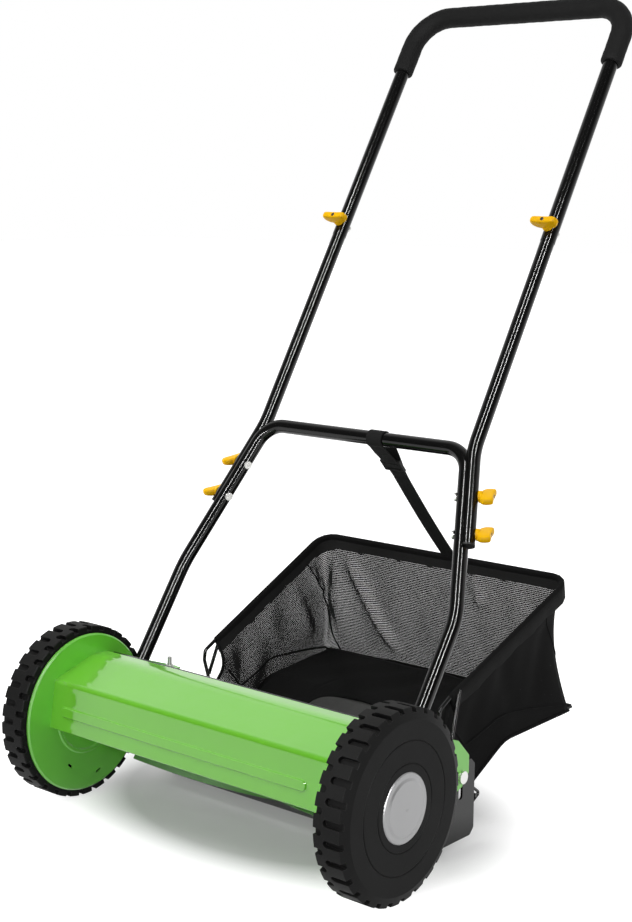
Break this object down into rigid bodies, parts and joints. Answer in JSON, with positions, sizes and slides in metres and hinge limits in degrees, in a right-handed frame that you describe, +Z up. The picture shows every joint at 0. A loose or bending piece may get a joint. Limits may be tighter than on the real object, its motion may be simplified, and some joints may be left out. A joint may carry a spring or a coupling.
{
  "type": "push reel mower",
  "caption": "hand-pushed cylinder lawn mower with a geared blade reel, bed knife, rear roller, folding tubular handle and rear grass catcher",
  "frame": {"origin": "on the ground, under the middle of the wheel axle line", "axes": "+X across the mower to its right wheel as seen from the front, +Y back towards the handle, +Z up"},
  "size_m": [0.5706, 0.7814, 1.0687],
  "materials": {
    "black_gloss": "gloss black enamel",
    "black_plastic": "moulded",
    "blade_steel": "hardened steel",
    "fabric": "woven",
    "foam": "closed-cell foam",
    "green": "gloss paint",
    "hubcap_grey": "satin",
    "pale_green": "gloss paint",
    "roller_grey": "moulded",
    "tyre_black": "moulded tread",
    "webbing": "woven webbing",
    "yellow": "moulded",
    "zinc": "zinc plate"
  },
  "bodies": {
    "chassis": {"deck_cover": "pale_green", "side_plate_left": "green", "side_plate_right": "green", "rear_tie_rod": "black_gloss", "stub_axles": "zinc", "axle_sleeves": "zinc", "axle_nuts": "zinc", "bearing_housings": "zinc", "bearing_outer_rings": "zinc", "chassis_bolts": "zinc", "height_bolts": "zinc", "adjuster_studs": "zinc", "bed_knife_pivots": "zinc"},
    "reel": {"reel_shaft": "blade_steel", "reel_spiders": "green", "reel_blade_1": "green", "reel_blade_2": "green", "reel_blade_3": "green", "reel_blade_4": "green", "reel_blade_5": "green", "bearing_inner_rings": "zinc", "bearing_balls": "blade_steel", "drive_pawls": "blade_steel", "pinion_right": "blade_steel", "pinion_circlips": "zinc"},
    "pinion_left": {"pinion_left": "blade_steel"},
    "wheel_left": {"wheel_left": "tyre_black", "ring_gear_left": "black_plastic", "hubcap_left": "hubcap_grey"},
    "wheel_right": {"wheel_right": "tyre_black", "ring_gear_right": "black_plastic", "hubcap_right": "hubcap_grey"},
    "bed_knife_unit": {"bed_knife_carrier": "black_gloss", "bed_knife": "blade_steel", "bed_knife_screws": "zinc"},
    "roller_carrier": {"roller_bracket_left": "black_gloss", "roller_bracket_right": "black_gloss", "roller_axle": "zinc", "catcher_hooks": "black_gloss"},
    "roller": {"rear_roller": "roller_grey"},
    "height_knob_left": {"height_knob_left": "black_plastic"},
    "height_knob_right": {"height_knob_right": "black_plastic"},
    "handle": {"lower_handle": "black_gloss", "middle_tube_left": "black_gloss", "middle_tube_right": "black_gloss", "tube_end_caps": "black_plastic", "upper_handle": "black_gloss", "foam_grip": "foam", "handle_bolts": "zinc", "catcher_strap": "webbing", "strap_buckle": "black_plastic"},
    "catcher": {"catcher_frame": "black_gloss", "catcher_bag": "fabric", "catcher_floor": "black_plastic"},
    "knob_high_left": {"knob_high_left": "yellow"},
    "knob_high_right": {"knob_high_right": "yellow"},
    "knob_low_left": {"knob_low_left": "yellow"},
    "knob_low_right": {"knob_low_right": "yellow"},
    "knob_top_left": {"knob_top_left": "yellow"},
    "knob_top_right": {"knob_top_right": "yellow"}
  },
  "joints": [
    {"name": "wheel_left_spin", "type": "hinge", "parent": "chassis", "child": "wheel_left", "pos_m": [-0.2588, 0, 0.115], "axis": [1, 0, 0], "continuous": true},
    {"name": "wheel_right_spin", "type": "hinge", "parent": "chassis", "child": "wheel_right", "pos_m": [0.2588, 0, 0.115], "axis": [1, 0, 0], "continuous": true},
    {"name": "reel_spin", "type": "hinge", "parent": "chassis", "child": "reel", "pos_m": [0, 0.07727, 0.08989], "axis": [1, 0, 0], "continuous": true},
    {"name": "pinion_left_spin", "type": "hinge", "parent": "chassis", "child": "pinion_left", "pos_m": [-0.2485, 0.07727, 0.08989], "axis": [1, 0, 0], "continuous": true},
    {"name": "bed_knife_adjust", "type": "hinge", "parent": "chassis", "child": "bed_knife_unit", "pos_m": [0, 0.125, 0.095], "axis": [1, 0, 0], "range_deg": [0, 1.5]},
    {"name": "roller_height", "type": "slide", "parent": "chassis", "child": "roller_carrier", "axis": [0, 0, 1], "range_m": [0, 0.025]},
    {"name": "roller_spin", "type": "hinge", "parent": "roller_carrier", "child": "roller", "pos_m": [0, 0.1405, 0.02], "axis": [1, 0, 0], "continuous": true},
    {"name": "height_knob_left_turn", "type": "hinge", "parent": "chassis", "child": "height_knob_left", "pos_m": [-0.226, 0.182, 0.092], "axis": [1, 0, 0], "continuous": true},
    {"name": "height_knob_right_turn", "type": "hinge", "parent": "chassis", "child": "height_knob_right", "pos_m": [0.226, 0.182, 0.092], "axis": [1, 0, 0], "continuous": true},
    {"name": "handle_fold", "type": "hinge", "parent": "chassis", "child": "handle", "pos_m": [0, 0.0785, 0.148], "axis": [1, 0, 0], "range_deg": [-4, 45], "deforming": ["catcher_strap"]},
    {"name": "knob_high_left_turn", "type": "hinge", "parent": "handle", "child": "knob_high_left", "pos_m": [-0.19883, 0.26231, 0.42572], "axis": [-0.9164, 0.3947, 0.0667], "continuous": true},
    {"name": "knob_high_right_turn", "type": "hinge", "parent": "handle", "child": "knob_high_right", "pos_m": [0.19883, 0.26231, 0.42572], "axis": [0.9164, 0.3947, 0.0667], "continuous": true},
    {"name": "knob_low_left_turn", "type": "hinge", "parent": "handle", "child": "knob_low_left", "pos_m": [-0.21248, 0.23783, 0.3831], "axis": [-0.9164, 0.3947, 0.0667], "continuous": true},
    {"name": "knob_low_right_turn", "type": "hinge", "parent": "handle", "child": "knob_low_right", "pos_m": [0.21248, 0.23783, 0.3831], "axis": [0.9164, 0.3947, 0.0667], "continuous": true},
    {"name": "knob_top_left_turn", "type": "hinge", "parent": "handle", "child": "knob_top_left", "pos_m": [-0.173, 0.4608, 0.75097], "axis": [0, -0.8461, 0.533], "continuous": true},
    {"name": "knob_top_right_turn", "type": "hinge", "parent": "handle", "child": "knob_top_right", "pos_m": [0.173, 0.4608, 0.75097], "axis": [0, -0.8461, 0.533], "continuous": true},
    {"name": "catcher_lift", "type": "hinge", "parent": "roller_carrier", "child": "catcher", "pos_m": [0, 0.219, 0.0576], "axis": [1, 0, 0], "range_deg": [0, 18], "deforming": ["catcher_strap"]}
  ],
  "couplings": [
    {"joint": "wheel_right_spin", "follows": "reel_spin", "ratio": 0.13333},
    {"joint": "pinion_left_spin", "follows": "wheel_left_spin", "ratio": 7.5}
  ]
}
